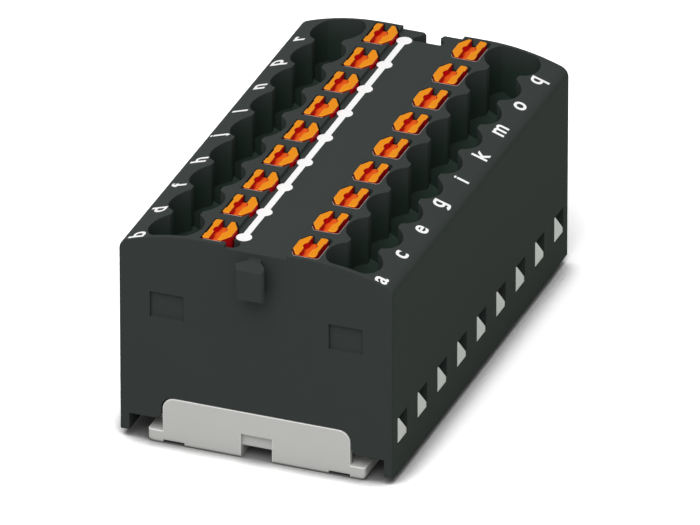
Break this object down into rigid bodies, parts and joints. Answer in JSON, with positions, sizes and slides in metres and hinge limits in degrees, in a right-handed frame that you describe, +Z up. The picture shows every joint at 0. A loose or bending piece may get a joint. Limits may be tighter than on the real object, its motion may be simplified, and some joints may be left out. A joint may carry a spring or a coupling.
{
  "type": "distribution block",
  "caption": "Push-in distribution block: two rows of wire funnels with sprung release buttons over one common current bar.",
  "frame": {"origin": "middle of the flat underside that the block stands on", "axes": "+Y along the two rows of poles, from the end with the key tab to the end with the key slot, +Z up through the buttons, +X from the left row to the right row"},
  "size_m": [0.0272, 0.0483, 0.0223],
  "materials": {
    "housing_plastic": "moulded polyamide, dark grey, fine spark-eroded grain",
    "cover_plastic": "moulded polyamide, light grey, satin",
    "button_plastic": "moulded polyamide, amber orange, slightly translucent",
    "bar_metal": "stamped copper with a dull tin plating",
    "spring_steel": "bent spring steel strip, bright"
  },
  "bodies": {
    "block": {"housing": "housing_plastic", "base_cover": "cover_plastic", "current_bar": "bar_metal", "clamp_spring_left_1": "spring_steel", "clamp_spring_left_2": "spring_steel", "clamp_spring_left_3": "spring_steel", "clamp_spring_left_4": "spring_steel", "clamp_spring_left_5": "spring_steel", "clamp_spring_left_6": "spring_steel", "clamp_spring_left_7": "spring_steel", "clamp_spring_left_8": "spring_steel", "clamp_spring_left_9": "spring_steel", "clamp_spring_right_1": "spring_steel", "clamp_spring_right_2": "spring_steel", "clamp_spring_right_3": "spring_steel", "clamp_spring_right_4": "spring_steel", "clamp_spring_right_5": "spring_steel", "clamp_spring_right_6": "spring_steel", "clamp_spring_right_7": "spring_steel", "clamp_spring_right_8": "spring_steel", "clamp_spring_right_9": "spring_steel"},
    "push_left_1": {"button_left_1": "button_plastic"},
    "push_left_2": {"button_left_2": "button_plastic"},
    "push_left_3": {"button_left_3": "button_plastic"},
    "push_left_4": {"button_left_4": "button_plastic"},
    "push_left_5": {"button_left_5": "button_plastic"},
    "push_left_6": {"button_left_6": "button_plastic"},
    "push_left_7": {"button_left_7": "button_plastic"},
    "push_left_8": {"button_left_8": "button_plastic"},
    "push_left_9": {"button_left_9": "button_plastic"},
    "push_right_1": {"button_right_1": "button_plastic"},
    "push_right_2": {"button_right_2": "button_plastic"},
    "push_right_3": {"button_right_3": "button_plastic"},
    "push_right_4": {"button_right_4": "button_plastic"},
    "push_right_5": {"button_right_5": "button_plastic"},
    "push_right_6": {"button_right_6": "button_plastic"},
    "push_right_7": {"button_right_7": "button_plastic"},
    "push_right_8": {"button_right_8": "button_plastic"},
    "push_right_9": {"button_right_9": "button_plastic"}
  },
  "joints": [
    {"name": "press_left_1", "type": "slide", "parent": "block", "child": "push_left_1", "axis": [0, 0, -1], "range_m": [0, 0.0016], "stiffness_N_per_m": 600, "deforming": ["clamp_spring_left_1"]},
    {"name": "press_left_2", "type": "slide", "parent": "block", "child": "push_left_2", "axis": [0, 0, -1], "range_m": [0, 0.0016], "stiffness_N_per_m": 600, "deforming": ["clamp_spring_left_2"]},
    {"name": "press_left_3", "type": "slide", "parent": "block", "child": "push_left_3", "axis": [0, 0, -1], "range_m": [0, 0.0016], "stiffness_N_per_m": 600, "deforming": ["clamp_spring_left_3"]},
    {"name": "press_left_4", "type": "slide", "parent": "block", "child": "push_left_4", "axis": [0, 0, -1], "range_m": [0, 0.0016], "stiffness_N_per_m": 600, "deforming": ["clamp_spring_left_4"]},
    {"name": "press_left_5", "type": "slide", "parent": "block", "child": "push_left_5", "axis": [0, 0, -1], "range_m": [0, 0.0016], "stiffness_N_per_m": 600, "deforming": ["clamp_spring_left_5"]},
    {"name": "press_left_6", "type": "slide", "parent": "block", "child": "push_left_6", "axis": [0, 0, -1], "range_m": [0, 0.0016], "stiffness_N_per_m": 600, "deforming": ["clamp_spring_left_6"]},
    {"name": "press_left_7", "type": "slide", "parent": "block", "child": "push_left_7", "axis": [0, 0, -1], "range_m": [0, 0.0016], "stiffness_N_per_m": 600, "deforming": ["clamp_spring_left_7"]},
    {"name": "press_left_8", "type": "slide", "parent": "block", "child": "push_left_8", "axis": [0, 0, -1], "range_m": [0, 0.0016], "stiffness_N_per_m": 600, "deforming": ["clamp_spring_left_8"]},
    {"name": "press_left_9", "type": "slide", "parent": "block", "child": "push_left_9", "axis": [0, 0, -1], "range_m": [0, 0.0016], "stiffness_N_per_m": 600, "deforming": ["clamp_spring_left_9"]},
    {"name": "press_right_1", "type": "slide", "parent": "block", "child": "push_right_1", "axis": [0, 0, -1], "range_m": [0, 0.0016], "stiffness_N_per_m": 600, "deforming": ["clamp_spring_right_1"]},
    {"name": "press_right_2", "type": "slide", "parent": "block", "child": "push_right_2", "axis": [0, 0, -1], "range_m": [0, 0.0016], "stiffness_N_per_m": 600, "deforming": ["clamp_spring_right_2"]},
    {"name": "press_right_3", "type": "slide", "parent": "block", "child": "push_right_3", "axis": [0, 0, -1], "range_m": [0, 0.0016], "stiffness_N_per_m": 600, "deforming": ["clamp_spring_right_3"]},
    {"name": "press_right_4", "type": "slide", "parent": "block", "child": "push_right_4", "axis": [0, 0, -1], "range_m": [0, 0.0016], "stiffness_N_per_m": 600, "deforming": ["clamp_spring_right_4"]},
    {"name": "press_right_5", "type": "slide", "parent": "block", "child": "push_right_5", "axis": [0, 0, -1], "range_m": [0, 0.0016], "stiffness_N_per_m": 600, "deforming": ["clamp_spring_right_5"]},
    {"name": "press_right_6", "type": "slide", "parent": "block", "child": "push_right_6", "axis": [0, 0, -1], "range_m": [0, 0.0016], "stiffness_N_per_m": 600, "deforming": ["clamp_spring_right_6"]},
    {"name": "press_right_7", "type": "slide", "parent": "block", "child": "push_right_7", "axis": [0, 0, -1], "range_m": [0, 0.0016], "stiffness_N_per_m": 600, "deforming": ["clamp_spring_right_7"]},
    {"name": "press_right_8", "type": "slide", "parent": "block", "child": "push_right_8", "axis": [0, 0, -1], "range_m": [0, 0.0016], "stiffness_N_per_m": 600, "deforming": ["clamp_spring_right_8"]},
    {"name": "press_right_9", "type": "slide", "parent": "block", "child": "push_right_9", "axis": [0, 0, -1], "range_m": [0, 0.0016], "stiffness_N_per_m": 600, "deforming": ["clamp_spring_right_9"]}
  ]
}
